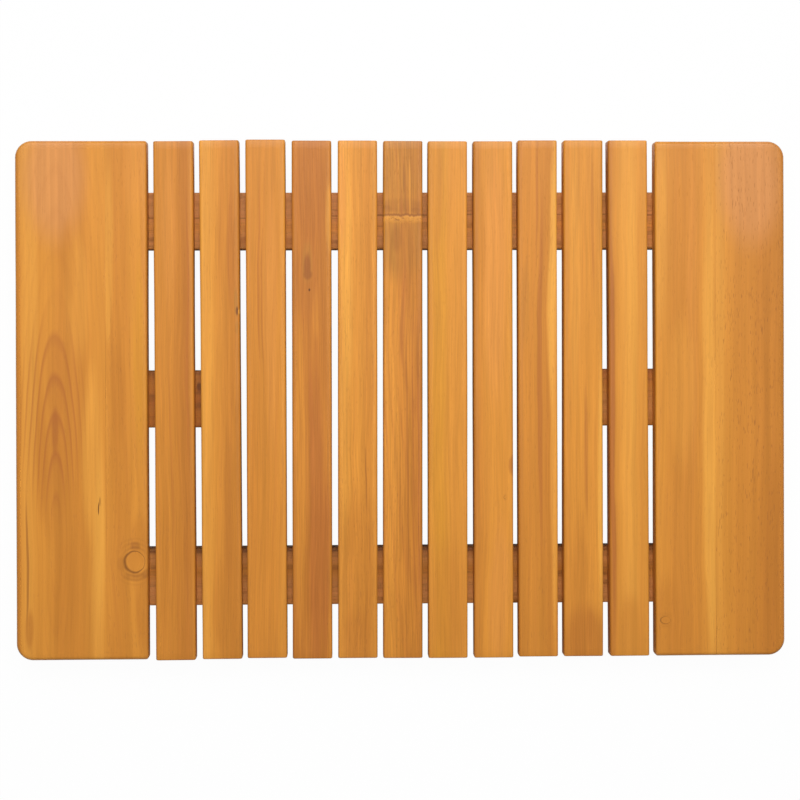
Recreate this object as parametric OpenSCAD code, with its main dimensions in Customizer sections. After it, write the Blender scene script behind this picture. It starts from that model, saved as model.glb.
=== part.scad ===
// Slatted wooden bath mat (duckboard).
//
// Two wide end boards and a row of narrow slats lie side by side with drainage gaps between
// them. Each end board is edge-glued from two staves. Everything is screwed from below to two
// long rails and two short cleats, which stand on rubber feet.
//
// X runs along the mat, Y along the boards and Z up. The origin is on the floor, under the
// middle of the mat.

/* [Mat] */
// Length over both end boards
mat_length = 556; // [460:1:680]
// Width of the mat, which is the length of every board
mat_width = 374; // [300:1:460]

/* [Top boards] */
// Thickness of the end boards and slats
board_t = 12; // [10:0.5:15]
// Width of each end board
end_board_w = 94.5; // [78:0.5:114]
// Width of the outer stave of the left end board
left_outer_stave_w = 64.8; // [50:0.1:72]
// Width of the outer stave of the right end board
right_outer_stave_w = 50.5; // [42:0.1:62]
// Width of one slat
slat_w = 28.5; // [24:0.5:35]
// Gap between neighbours, before it is evened out over the whole row
slat_gap = 4; // [3:0.1:6]
// Radius of the four outside corners, seen from above
corner_r = 12; // [6:0.5:16]
// Rounding along the outside edges of the end boards
board_edge_r = 3; // [1:0.25:4]
// Rounding along the edges beside a gap
slat_edge_r = 1.75; // [0.75:0.25:3]
// Rounding across the ends of the slats
slat_end_r = 0.8; // [0.4:0.1:1.5]

/* [Rails and cleats] */
// Thickness of the rails and cleats
batten_t = 15; // [12:0.5:18]
// Width of the rails and cleats
batten_w = 41.5; // [34:0.5:50]
// From the long edge of the mat to the outer face of a rail
rail_inset = 36.5; // [28:0.5:46]
// From the short edge of the mat to the end of a rail or cleat
batten_end_inset = 16; // [10:0.5:24]
// Slats that each cleat carries beside its end board
cleat_slats = 2; // [1:1:3]
// How far a cleat stops short of the far edge of its last slat
cleat_setback = 3; // [1:0.5:6]
// Radius of the batten corners, seen from above
batten_corner_r = 4; // [2:0.5:8]
// Rounding along the batten edges
batten_edge_r = 1.5; // [0.5:0.25:3]

/* [Board screws] */
// Outside diameter of the thread
screw_d = 3.5; // [3:0.1:4.2]
// Root diameter of the thread
screw_core_d = 2.3; // [2:0.1:2.6]
// Diameter of the countersunk head
screw_head_d = 7; // [6:0.1:8.4]
// How deep the head is sunk below the face of the batten
screw_sink = 1; // [0.4:0.1:1.6]
// How far the screws reach into the boards
screw_bite = 6; // [4:0.5:8]
// Distance between two turns of the thread
thread_pitch = 1.6; // [1.3:0.1:2]
// Diametral clearance of the hole through a batten
shank_clearance = 0.3; // [0.1:0.1:0.6]

/* [Rubber feet] */
// Diameter of a foot where it meets the batten
foot_d = 18; // [15:0.5:21]
// Diameter of a foot on the floor
foot_floor_d = 16; // [13.5:0.5:19]
// Height of a foot
foot_h = 5; // [4.2:0.1:6.5]
// Height of the foot screw's head above the floor
foot_head_room = 0.5; // [0.3:0.1:0.8]
// Diameter of the steel washer
washer_d = 8.5; // [7.2:0.1:10]
// Thickness of the steel washer
washer_t = 0.8; // [0.6:0.1:1]
// Diameter of the foot screw
foot_screw_d = 3; // [2.6:0.1:3.5]
// Diameter of the pan head of the foot screw
foot_head_d = 5.8; // [5.2:0.1:6.6]
// Height of the pan head of the foot screw
foot_head_h = 1.7; // [1.4:0.1:1.9]
// How far a foot screw reaches into the batten
foot_screw_bite = 9; // [6:0.5:10]
// Bevel round the edge of a foot on the floor
foot_lip = 0.8; // [0.4:0.1:1.2]
// Diametral clearance round the washer and the foot screw
foot_clearance = 0.4; // [0.2:0.1:0.6]

/* [Hidden] */
$fn = 64;
CUT = 1;          // how far a cutting tool runs past the face that it cuts
FIT = 0.04;       // diametral room between a thread and the wood that it has cut
SLOT_W = 0.9;     // width of the arms of the cross recess
HEAD_RIM = 0.25;  // height of the straight rim of a countersunk head
SLOT_ACROSS = 0.58;    // length of the recess arms, as a share of the head's diameter
SLOT_DEEP = 0.7;       // depth of the recess, as a share of the head's height
THREADED = 0.7;        // threaded share of a board screw's shank
FOOT_SCREW_CORE = 0.7; // root of the foot screw's thread, as a share of its outside diameter
AMBER_SLATS = [1, 4, 6, 9];  // slats cut from darker wood

HONEY = [0.86, 0.58, 0.28];
AMBER = [0.80, 0.52, 0.24];
BATTEN_BROWN = [0.62, 0.39, 0.20];
ZINC = [0.78, 0.77, 0.73];
RUBBER_BLACK = [0.10, 0.10, 0.10];

// Heights of the layers
batten_z = foot_h;
board_z = batten_z + batten_t;

// The row of slats fills the space between the end boards with equal gaps
row_length = mat_length - 2 * end_board_w;
slat_count = round((row_length - slat_gap) / (slat_w + slat_gap));
gap = (row_length - slat_count * slat_w) / (slat_count + 1);
slat_pitch = slat_w + gap;
function slat_x(i) = (i - (slat_count + 1) / 2) * slat_pitch;  // i counts from 1

// Centre lines of the battens
rail_y = mat_width / 2 - rail_inset - batten_w / 2;
batten_end_x = mat_length / 2 - batten_end_inset;
cleat_end_x = slat_x(cleat_slats) + slat_w / 2 - cleat_setback;

// Each board and stave has one screw on its centre line at every batten
left_stave_xs = [
    -mat_length / 2 + left_outer_stave_w / 2,
    -mat_length / 2 + (left_outer_stave_w + end_board_w) / 2
];
right_stave_xs = [
    mat_length / 2 - (right_outer_stave_w + end_board_w) / 2,
    mat_length / 2 - right_outer_stave_w / 2
];
rail_screw_xs = concat(left_stave_xs, [for (i = [1:slat_count]) slat_x(i)], right_stave_xs);
left_cleat_screw_xs = concat(left_stave_xs, [for (i = [1:cleat_slats]) slat_x(i)]);
right_cleat_screw_xs = concat([for (i = [1:cleat_slats]) slat_x(slat_count + 1 - i)], right_stave_xs);

// Feet stand midway between two screws: under each end board and under two gaps of the slat row
foot_gap = round(slat_count / 4);
foot_mid_x = -slat_x(foot_gap) - slat_pitch / 2;
foot_left_x = (left_stave_xs[0] + left_stave_xs[1]) / 2;
foot_right_x = (right_stave_xs[0] + right_stave_xs[1]) / 2;
rail_foot_xs = [foot_left_x, -foot_mid_x, foot_mid_x, foot_right_x];
foot_places = concat(
    [for (x = rail_foot_xs) [x, -rail_y]],
    [for (x = rail_foot_xs) [x, rail_y]],
    [[foot_left_x, 0], [foot_right_x, 0]]
);

// Foot screw, from the underside of its head to its tip
foot_web_t = foot_h - foot_head_room - foot_head_h - washer_t;  // rubber over the washer
foot_head_z = foot_head_room + foot_head_h;
foot_screw_length = washer_t + foot_web_t + foot_screw_bite;
foot_screw_turns = floor((foot_screw_bite - foot_screw_d) / thread_pitch);

// Board screw, from the face of its head to its tip
screw_length = batten_t - screw_sink + screw_bite;
head_h = HEAD_RIM + (screw_head_d - screw_core_d) / 2;
screw_turns = floor((screw_length - head_h - screw_d) * THREADED / thread_pitch);

FOOT_NAMES = [
    "foot_front_1", "foot_front_2", "foot_front_3", "foot_front_4",
    "foot_rear_1", "foot_rear_2", "foot_rear_3", "foot_rear_4",
    "foot_left", "foot_right"
];
function slat_name(i) = str("slat_", i < 10 ? "0" : "", i);

// ---------------------------------------------------------------- shared shapes

// Rectangle centred on the origin with four round corners
module round_bar(w, h, r) {
    square([w - 2 * r, h], center = true);
    square([w, h - 2 * r], center = true);
    for (x = [-1, 1], y = [-1, 1])
        translate([x * (w / 2 - r), y * (h / 2 - r)])
            circle(r);
}

// Section of a board: its low side has one edge radius and its high side another
module eased_section(w, h, r_low, r_high) {
    for (side = [[-1, r_low], [1, r_high]])
        intersection() {
            round_bar(w, h, side[1]);
            translate([side[0] * w / 4, 0])
                square([w / 2, h], center = true);
        }
}

// Board with its underside at z = 0, centred in x and y
module eased_board(w, l, t, r_low, r_high, r_end) {
    translate([0, 0, t / 2])
        intersection() {
            rotate([90, 0, 0])
                linear_extrude(l, center = true)
                    eased_section(w, t, r_low, r_high);
            rotate([90, 0, 90])
                linear_extrude(w, center = true)
                    round_bar(l, t, r_end);
        }
}

// Quarter of a disc with a rounded rim, which turns a square board corner into a round one
module corner_piece(r, t, edge_r) {
    rotate_extrude(angle = 90)
        intersection() {
            translate([0, t / 2])
                round_bar(2 * r, t, edge_r);
            square([r, t]);
        }
}

// Left end board as one blank, in place in x and y, with its underside at z = 0
module end_board_blank() {
    edge_x = -mat_length / 2;
    corner_x = edge_x + corner_r;
    corner_y = mat_width / 2 - corner_r;
    difference() {
        translate([edge_x + end_board_w / 2, 0, 0])
            eased_board(end_board_w, mat_width, board_t, board_edge_r, slat_edge_r, board_edge_r);
        for (y = [-corner_y - corner_r - CUT, corner_y])
            translate([edge_x - CUT, y, -CUT])
                cube([corner_r + CUT, corner_r + CUT, board_t + 2 * CUT]);
    }
    translate([corner_x, corner_y, 0])
        rotate([0, 0, 90])
            corner_piece(corner_r, board_t, board_edge_r);
    translate([corner_x, -corner_y, 0])
        rotate([0, 0, 180])
            corner_piece(corner_r, board_t, board_edge_r);
}

// The part of the left end board between two distances from its outer edge
module stave_blank(from, to) {
    intersection() {
        end_board_blank();
        translate([-mat_length / 2 + from, -mat_width / 2 - CUT, -CUT])
            cube([to - from, mat_width + 2 * CUT, board_t + 2 * CUT]);
    }
}

// Holes that the thread has cut in the underside of a board, for a board lying on the battens
module board_holes(xs, ys) {
    for (x = xs, y = ys)
        translate([x, y, board_z - CUT])
            cylinder(d = screw_d + FIT, h = screw_bite + CUT);
}

// Countersunk clearance holes through a batten for board screws
module batten_holes(xs, y) {
    for (x = xs)
        translate([x, y, batten_z]) {
            translate([0, 0, -CUT])
                cylinder(d = screw_d + shank_clearance, h = batten_t + 2 * CUT);
            translate([0, 0, -CUT])
                cylinder(d = screw_head_d + FIT, h = CUT + screw_sink + HEAD_RIM);
            translate([0, 0, screw_sink + HEAD_RIM])
                cylinder(d1 = screw_head_d + FIT, d2 = FIT, h = screw_head_d / 2);
        }
}

// Blind holes in the underside of a batten for foot screws
module foot_screw_holes() {
    for (p = foot_places)
        translate([p[0], p[1], batten_z - CUT])
            cylinder(d = foot_screw_d + FIT, h = foot_screw_bite + CUT);
}

// Cross recess, cut downwards from z = 0
module cross_recess(across, depth) {
    for (a = [0, 90])
        rotate([0, 0, a])
            translate([-across / 2, -SLOT_W / 2, -depth])
                cube([across, SLOT_W, depth + CUT]);
}

// Half section of a screw below its head, as points: a plain shank, one ridge for each turn of
// the thread and a pointed tip as long as the thread is wide
function shank_points(core_r, crest_r, from, to, turns) =
    let (
        tip_z = to - crest_r * 2,
        ridge = [[0, core_r], [0.35, crest_r], [0.5, crest_r], [0.85, core_r]]  // turn, radius
    )
    concat(
        [[core_r, from]],
        [for (k = [1:turns], p = ridge) [p[1], tip_z - (turns + 1 - k - p[0]) * thread_pitch]],
        [[core_r, tip_z], [0, to]]
    );

// Countersunk board screw, head down with its face at z = 0
module board_screw() {
    shank = shank_points(screw_core_d / 2, screw_d / 2, head_h, screw_length, screw_turns);
    difference() {
        rotate_extrude()
            polygon(concat([[0, 0], [screw_head_d / 2, 0], [screw_head_d / 2, HEAD_RIM]], shank));
        rotate([180, 0, 0])
            cross_recess(screw_head_d * SLOT_ACROSS, head_h * SLOT_DEEP);
    }
}

// Pan-head foot screw, head down, with the underside of its head at z = 0
module foot_screw() {
    crest_r = foot_screw_d / 2;
    core_r = crest_r * FOOT_SCREW_CORE;
    edge_r = foot_head_h * 0.6;
    difference() {
        rotate_extrude() {
            // Quarter-round rim of the head, with a flat top inside it
            intersection() {
                translate([foot_head_d / 2 - edge_r, edge_r - foot_head_h])
                    circle(edge_r);
                translate([foot_head_d / 2 - edge_r, -foot_head_h])
                    square([edge_r, edge_r]);
            }
            translate([0, -foot_head_h])
                square([foot_head_d / 2 - edge_r, foot_head_h]);
            translate([0, edge_r - foot_head_h])
                square([foot_head_d / 2, foot_head_h - edge_r]);
            polygon(concat([[0, -foot_head_h / 2]],
                shank_points(core_r, crest_r, -foot_head_h / 2, foot_screw_length, foot_screw_turns)));
        }
        translate([0, 0, -foot_head_h])
            rotate([180, 0, 0])
                cross_recess(foot_head_d * SLOT_ACROSS, foot_head_h * SLOT_DEEP);
    }
}

// ---------------------------------------------------------------- sub-parts

module left_outer_stave() {
    color(HONEY)
        difference() {
            translate([0, 0, board_z])
                stave_blank(0, left_outer_stave_w);
            board_holes([left_stave_xs[0]], [-rail_y, 0, rail_y]);
        }
}

module left_inner_stave() {
    color(AMBER)
        difference() {
            translate([0, 0, board_z])
                stave_blank(left_outer_stave_w, end_board_w);
            board_holes([left_stave_xs[1]], [-rail_y, 0, rail_y]);
        }
}

module right_inner_stave() {
    color(HONEY)
        difference() {
            translate([0, 0, board_z])
                mirror([1, 0, 0])
                    stave_blank(right_outer_stave_w, end_board_w);
            board_holes([right_stave_xs[0]], [-rail_y, 0, rail_y]);
        }
}

module right_outer_stave() {
    color(AMBER)
        difference() {
            translate([0, 0, board_z])
                mirror([1, 0, 0])
                    stave_blank(0, right_outer_stave_w);
            board_holes([right_stave_xs[1]], [-rail_y, 0, rail_y]);
        }
}

// Slat number i, counted from the left. The slats over a cleat have a third screw hole.
module slat(i) {
    over_cleat = i <= cleat_slats || i > slat_count - cleat_slats;
    color(len(search(i, AMBER_SLATS)) > 0 ? AMBER : HONEY)
        difference() {
            translate([slat_x(i), 0, board_z])
                eased_board(slat_w, mat_width, board_t, slat_edge_r, slat_edge_r, slat_end_r);
            board_holes([slat_x(i)], over_cleat ? [-rail_y, 0, rail_y] : [-rail_y, rail_y]);
        }
}

// Batten from x0 to x1 on the centre line y, with the holes for its board screws and feet
module batten(x0, x1, y, screw_xs) {
    difference() {
        intersection() {
            translate([(x0 + x1) / 2, y, batten_z])
                rotate([0, 0, 90])
                    eased_board(batten_w, x1 - x0, batten_t, batten_edge_r, batten_edge_r, batten_edge_r);
            translate([(x0 + x1) / 2, y, batten_z - CUT])
                linear_extrude(batten_t + 2 * CUT)
                    round_bar(x1 - x0, batten_w, batten_corner_r);
        }
        batten_holes(screw_xs, y);
        foot_screw_holes();
    }
}

module front_rail() {
    color(BATTEN_BROWN)
        batten(-batten_end_x, batten_end_x, -rail_y, rail_screw_xs);
}

module rear_rail() {
    color(BATTEN_BROWN)
        batten(-batten_end_x, batten_end_x, rail_y, rail_screw_xs);
}

module left_cleat() {
    color(BATTEN_BROWN)
        batten(-batten_end_x, cleat_end_x, 0, left_cleat_screw_xs);
}

module right_cleat() {
    color(BATTEN_BROWN)
        batten(-cleat_end_x, batten_end_x, 0, right_cleat_screw_xs);
}

// Row of board screws along one batten
module screw_row(xs, y) {
    color(ZINC)
        for (x = xs)
            translate([x, y, batten_z + screw_sink])
                board_screw();
}

module front_rail_screws() screw_row(rail_screw_xs, -rail_y);
module rear_rail_screws() screw_row(rail_screw_xs, rail_y);
module left_cleat_screws() screw_row(left_cleat_screw_xs, 0);
module right_cleat_screws() screw_row(right_cleat_screw_xs, 0);

// Rubber foot number i of foot_places: a tapered disc with a recess for the washer
module foot(i) {
    floor_r = foot_floor_d / 2;
    color(RUBBER_BLACK)
        translate([foot_places[i][0], foot_places[i][1], 0])
            difference() {
                rotate_extrude()
                    polygon([
                        [0, 0], [floor_r - foot_lip, 0], [floor_r, foot_lip],
                        [foot_d / 2, foot_h - foot_lip], [foot_d / 2, foot_h], [0, foot_h]
                    ]);
                translate([0, 0, -CUT])
                    cylinder(d = washer_d + foot_clearance, h = foot_h - foot_web_t + CUT);
                cylinder(d = foot_screw_d + foot_clearance, h = foot_h + CUT);
            }
}

module foot_washers() {
    color(ZINC)
        for (p = foot_places)
            translate([p[0], p[1], foot_head_z])
                difference() {
                    cylinder(d = washer_d, h = washer_t);
                    translate([0, 0, -CUT])
                        cylinder(d = foot_screw_d + foot_clearance, h = washer_t + 2 * CUT);
                }
}

module foot_screws() {
    color(ZINC)
        for (p = foot_places)
            translate([p[0], p[1], foot_head_z])
                foot_screw();
}

// ---------------------------------------------------------------- assembly

left_outer_stave();
left_inner_stave();
right_inner_stave();
right_outer_stave();
for (i = [1:slat_count])
    slat(i);
front_rail();
rear_rail();
left_cleat();
right_cleat();
front_rail_screws();
rear_rail_screws();
left_cleat_screws();
right_cleat_screws();
for (i = [0:len(FOOT_NAMES) - 1])
    foot(i);
foot_washers();
foot_screws();
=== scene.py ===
# %% [markdown]
# # A slatted wooden bath mat
# The CAD model says where every board, rail, screw and foot is. This notebook remodels those
# pieces with the small things that a carpenter's bench leaves on them, and gives them wood,
# zinc and rubber that are worked out by nodes.

# %% Load the frame
import math

import bmesh
import bpy
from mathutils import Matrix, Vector


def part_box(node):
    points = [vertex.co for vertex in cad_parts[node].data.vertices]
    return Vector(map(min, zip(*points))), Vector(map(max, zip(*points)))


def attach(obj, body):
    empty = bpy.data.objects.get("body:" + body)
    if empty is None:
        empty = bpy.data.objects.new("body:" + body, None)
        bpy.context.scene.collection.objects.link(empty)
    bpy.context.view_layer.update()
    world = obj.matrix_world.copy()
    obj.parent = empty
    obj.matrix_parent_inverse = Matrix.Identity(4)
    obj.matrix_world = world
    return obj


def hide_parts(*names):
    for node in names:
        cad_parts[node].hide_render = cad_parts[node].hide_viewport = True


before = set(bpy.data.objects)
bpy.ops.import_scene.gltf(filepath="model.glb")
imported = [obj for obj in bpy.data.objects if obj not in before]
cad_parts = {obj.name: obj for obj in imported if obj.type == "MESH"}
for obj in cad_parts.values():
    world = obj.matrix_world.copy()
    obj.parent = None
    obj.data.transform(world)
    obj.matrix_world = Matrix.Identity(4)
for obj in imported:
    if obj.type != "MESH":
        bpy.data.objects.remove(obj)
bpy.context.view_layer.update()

MM = 0.001

# %% [markdown]
# ## Picking and shaping
# Every piece starts as a primitive and is shaped in edit mode. With no mouse to click on an
# edge, code picks edges, faces and points by where they are. A test gets the corner points of
# each edge or face and says whether it is wanted.

# %% Helpers for edit mode
def start_block(name, low, high):
    """A cube stretched between two corners, the way a board is cut to size. Leaves it in edit mode."""
    bpy.ops.object.select_all(action="DESELECT")
    bpy.ops.mesh.primitive_cube_add(size=1, location=(low + high) / 2)
    block = bpy.context.active_object
    block.name = block.data.name = name
    block.scale = high - low
    bpy.ops.object.transform_apply(location=True, rotation=True, scale=True)
    bpy.ops.object.mode_set(mode="EDIT")
    return block


def pick(piece, kind, test):
    """Selects only the VERT, EDGE or FACE items of the piece whose points pass the test."""
    bpy.ops.mesh.select_mode(type=kind)
    bpy.ops.mesh.select_all(action="DESELECT")
    shape = bmesh.from_edit_mesh(piece.data)
    for item in {"VERT": shape.verts, "EDGE": shape.edges, "FACE": shape.faces}[kind]:
        points = [item.co] if kind == "VERT" else [v.co for v in item.verts]
        if test(points):
            item.select_set(True)
    shape.select_flush_mode()
    bmesh.update_edit_mesh(piece.data)


def near(a, b):
    """Whether two lengths are the same to a hundredth of a millimetre."""
    return abs(a - b) < 0.01 * MM


def along(axis, points):
    """Whether an edge runs along an axis, 0 for X, 1 for Y and 2 for Z."""
    return all(near(points[0][k], points[1][k]) for k in range(3) if k != axis)


def slice_block(piece, axis, step):
    """Cuts the piece across one axis every step, so that later tools have points to move."""
    low, high = (f(v.co[axis] for v in piece.data.vertices) for f in (min, max))
    cuts = max(1, round((high - low) / step))
    direction = [float(k == axis) for k in range(3)]
    for n in range(1, cuts):
        bpy.ops.mesh.select_all(action="SELECT")
        at = low + (high - low) * n / cuts
        bpy.ops.mesh.bisect(plane_co=[at * k for k in direction], plane_no=direction)


def use_modifier(piece, kind, **settings):
    """Adds a modifier to the piece and applies it at once."""
    bpy.ops.object.select_all(action="DESELECT")
    piece.select_set(True)
    bpy.context.view_layer.objects.active = piece
    bpy.ops.object.modifier_add(type=kind)
    modifier = piece.modifiers[-1]
    for key, value in settings.items():
        setattr(modifier, key, value)
    bpy.ops.object.modifier_apply(modifier=modifier.name)


def finish_piece(piece, node, material, angle=40):
    """Smooths the piece, gives it its material and lets it stand for its CAD node."""
    bpy.ops.object.select_all(action="DESELECT")
    piece.select_set(True)
    bpy.context.view_layer.objects.active = piece
    bpy.ops.object.shade_smooth_by_angle(angle=math.radians(angle))
    piece.data.materials.clear()
    piece.data.materials.append(material)
    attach(piece, "root")
    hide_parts(node)


# %% [markdown]
# ## Building materials from nodes
# A material is a small machine of nodes. One helper adds a node and fills in its sockets: a
# plain value is set on the socket, and another node's output is wired to it.

# %% Helpers for nodes
def fill(tree, node, inputs):
    """Fills a node's sockets, by name or number, with values or with the outputs of other nodes."""
    for key, value in inputs.items():
        if isinstance(value, bpy.types.NodeSocket):
            tree.links.new(value, node.inputs[key])
        else:
            node.inputs[key].default_value = value


def add(tree, kind, inputs=None, **settings):
    """Adds a node to a tree, with its settings and its inputs."""
    node = tree.nodes.new("ShaderNode" + kind)
    for key, value in settings.items():
        setattr(node, key, value)
    fill(tree, node, inputs or {})
    return node


def maths(tree, operation, *values, clamp=False):
    """One step of arithmetic on single numbers."""
    return add(tree, "Math", dict(enumerate(values)), operation=operation, use_clamp=clamp).outputs[0]


def stretch(tree, vector, scale):
    """A vector with each of its parts multiplied by its own factor."""
    return add(tree, "VectorMath", {0: vector, 1: scale}, operation="MULTIPLY").outputs[0]


def noise(tree, vector, scale, seed, detail=2.0, roughness=0.5):
    """Smooth noise from 0 to 1. Its seed picks one of many patterns."""
    inputs = {"Vector": stretch(tree, vector, scale), "W": seed, "Scale": 1.0,
              "Detail": detail, "Roughness": roughness}
    return add(tree, "TexNoise", inputs, noise_dimensions="4D").outputs["Fac"]


def ramp(tree, value, stops, interpolation="LINEAR"):
    """A colour ramp with stops of (place, grey value or colour)."""
    node = add(tree, "ValToRGB", {"Fac": value})
    band = node.color_ramp
    band.interpolation = interpolation
    while len(band.elements) < len(stops):
        band.elements.new(0.5)
    for element, (place, colour) in zip(band.elements, stops):
        element.position = place
        element.color = (colour, colour, colour, 1) if isinstance(colour, (int, float)) else colour
    return node.outputs["Color"]


def mix(tree, amount, first, second, blend="MIX"):
    """Mixes two colours, or blends the second over the first."""
    node = add(tree, "Mix", data_type="RGBA", blend_type=blend)
    # A Mix node has a set of sockets for each kind of data: 0 is the factor, 6 and 7 the colours
    fill(tree, node, {0: amount, 6: first, 7: second})
    return node.outputs[2]


def new_group(name, inputs, outputs):
    """An empty node group, with what it is given and the node that takes its results."""
    group = bpy.data.node_groups.new(name, "ShaderNodeTree")
    for way, sockets in (("INPUT", inputs), ("OUTPUT", outputs)):
        for socket_name, kind in sockets.items():
            group.interface.new_socket(socket_name, in_out=way, socket_type="NodeSocket" + kind)
    return group, group.nodes.new("NodeGroupInput").outputs, group.nodes.new("NodeGroupOutput")


def use_group(tree, group, inputs):
    """Puts a node group into a tree and returns its outputs."""
    return add(tree, "Group", inputs, node_tree=group).outputs


def new_material(name):
    """A material with nodes, together with its tree and its shader."""
    material = bpy.data.materials.new(name)
    material.use_nodes = True
    return material, material.node_tree, material.node_tree.nodes["Principled BSDF"]


# %% [markdown]
# ## Tones of oiled acacia
# Acacia runs from pale sapwood to red heartwood within one board. The tones are named, as a
# painter names the colours on a palette. They are written as they look under the studio light,
# on the usual scale of 0 to 255, and turned into the darker values that a shader works with.

# %% The palette
STUDIO_LIGHT = 1.17  # how much the lamps brighten a surface in the middle of the mat


def paint(red, green, blue):
    """A colour on the 0 to 255 scale, as the linear value that a shader uses."""
    def linear(value):
        value /= 255
        value = value / 12.92 if value < 0.04045 else ((value + 0.055) / 1.055) ** 2.4
        return value / STUDIO_LIGHT
    return (linear(red), linear(green), linear(blue), 1)


CREAM = paint(243, 171, 71)
BUTTER = paint(233, 159, 64)
HONEY = paint(224, 148, 56)
ROSE = paint(228, 150, 66)
AMBER = paint(215, 139, 52)
CARAMEL = paint(206, 131, 48)
CHESTNUT = paint(196, 122, 46)
RUSSET = paint(184, 108, 48)
OLIVE = paint(189, 126, 50)
OCHRE = paint(222, 150, 50)
UMBER = paint(150, 90, 38)
BARK = paint(100, 54, 26)
# The next tone is a pale pink: on the battens it is a tone of the wood, and on the far ends of the two
# outer staves it is a painted sheen
BLUSH_AND_SHEEN = paint(222, 150, 86)
BATTEN_BROWN = paint(212, 142, 76)
print("tones ready, honey is", [round(c, 3) for c in HONEY])

# %% [markdown]
# ## How wood grows
# The figure of a board is a slice through the rings of a trunk. So the pattern is worked out in
# three dimensions, from the distance to the heart of the tree, and the faces, edges and end
# grain of a board agree by themselves. Noise stretched along Y makes fibres, and the tallest
# peaks of finer noise make pores, the short dark dashes that tell acacia from pine.

# %% The grain group
def build_grain():
    """Everything that a board has whether or not it has knots."""
    inputs = {"Vector": "Vector", "Seed": "Float", "Heart": "Vector", "Ring": "Float"}
    outputs = {"Wander": "Vector", "Rings": "Float", "Fibre": "Float", "Streak": "Float",
               "Cloud": "Float", "Pores": "Float"}
    tree, given, result = new_group("acacia grain", inputs, outputs)
    place, seed = given["Vector"], given["Seed"]

    # The trunk is never straight: slow noise bends the whole pattern sideways
    bend_x = noise(tree, place, (17, 7, 17), seed, detail=3)
    bend_z = noise(tree, place, (16, 4.5, 16), maths(tree, "ADD", seed, 7.3), detail=1)
    bend = add(tree, "CombineXYZ", {"X": maths(tree, "MULTIPLY_ADD", bend_x, 0.009, -0.0045),
                                    "Z": maths(tree, "MULTIPLY_ADD", bend_z, 0.006, -0.003)}).outputs[0]
    wander = add(tree, "VectorMath", {0: place, 1: bend}, operation="ADD").outputs[0]

    # Rings round the heart, which leans by Heart.Y metres of X for each metre of Y
    at = add(tree, "SeparateXYZ", {0: wander}).outputs
    heart = add(tree, "SeparateXYZ", {0: given["Heart"]}).outputs
    lean = maths(tree, "MULTIPLY", at["Y"], heart["Y"])
    across = maths(tree, "SUBTRACT", at["X"], heart["X"])
    depth = maths(tree, "SUBTRACT", maths(tree, "SUBTRACT", at["Z"], heart["Z"]), lean)
    reach = maths(tree, "SQRT", maths(tree, "ADD", maths(tree, "MULTIPLY", across, across),
                                      maths(tree, "MULTIPLY", depth, depth)))
    uneven = noise(tree, wander, (60, 3, 60), seed, detail=1)
    count = maths(tree, "DIVIDE", reach, given["Ring"])
    count = maths(tree, "MULTIPLY_ADD", uneven, 1.1, count)
    late_wood = [(0, 0.1), (0.5, 0.25), (0.8, 1.0), (0.93, 0.35), (1, 0.1)]
    rings = ramp(tree, maths(tree, "FRACT", count), late_wood)

    fibre = noise(tree, wander, (1100, 22, 1100), seed, detail=2, roughness=0.6)
    streak = noise(tree, wander, (260, 5.5, 260), seed, detail=3, roughness=0.55)
    cloud = noise(tree, place, (34, 7, 34), maths(tree, "ADD", seed, 3.1), detail=2)
    peaks = noise(tree, wander, (1900, 210, 1900), maths(tree, "ADD", seed, 1.7), detail=0)
    crowd = noise(tree, wander, (120, 14, 120), maths(tree, "ADD", seed, 5.9), detail=1)
    pores = ramp(tree, maths(tree, "MULTIPLY_ADD", crowd, 0.16, peaks), [(0.755, 0), (0.83, 1)])
    fill(tree, result, {"Wander": wander, "Rings": rings, "Fibre": fibre, "Streak": streak,
                        "Cloud": cloud, "Pores": pores})
    return tree


GRAIN = build_grain()
print("grain group:", len(GRAIN.nodes), "nodes")

# %% [markdown]
# ## Knots
# A knot is the foot of a branch. The trunk's fibres flow round it, so the pattern near a knot is
# pushed outwards. Its own wood is a darker disc with a thin ring of bark round it.

# %% The knot group
def from_centre(tree, given):
    """The way from the Centre of a group's ellipse, in metres and as a share of its Size."""
    offset = add(tree, "VectorMath", {0: given["Vector"], 1: given["Centre"]}, operation="SUBTRACT")
    share = add(tree, "VectorMath", {0: offset.outputs[0], 1: given["Size"]}, operation="DIVIDE")
    return offset.outputs[0], share.outputs[0]


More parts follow.
